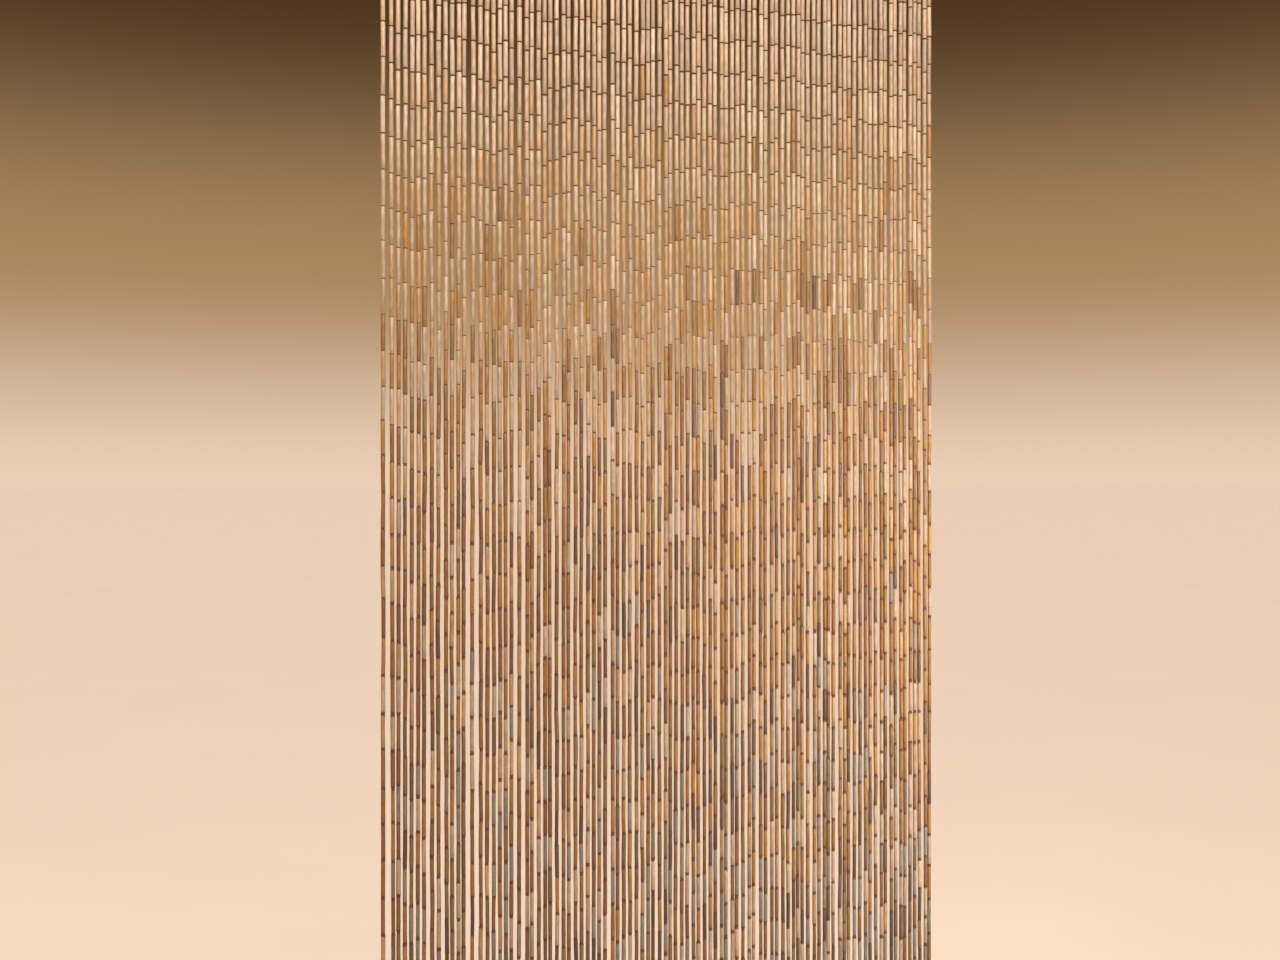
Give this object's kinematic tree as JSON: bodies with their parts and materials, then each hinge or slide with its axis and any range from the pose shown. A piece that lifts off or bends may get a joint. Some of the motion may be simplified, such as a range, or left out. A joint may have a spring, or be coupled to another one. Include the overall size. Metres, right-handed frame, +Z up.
{
  "type": "bamboo bead door curtain",
  "caption": "Hanging door curtain of bamboo tube beads strung in long separate strands below a plain wooden header batten.",
  "frame": {"origin": "middle of the batten's top edge, where the curtain is held", "axes": "+X along the batten, the front of the curtain faces -Y, +Z up, the strands hang towards -Z"},
  "size_m": [0.9, 0.012, 1.9999],
  "materials": {
    "batten_wood": "planed light softwood, satin varnish",
    "bamboo": "cut and polished natural bamboo cane, varied tan tones",
    "link_wire": "thin drawn steel wire, dull and slightly browned"
  },
  "bodies": {
    "root": {"header_batten": "batten_wood", "strand_row": "bamboo"}
  },
  "joints": []
}
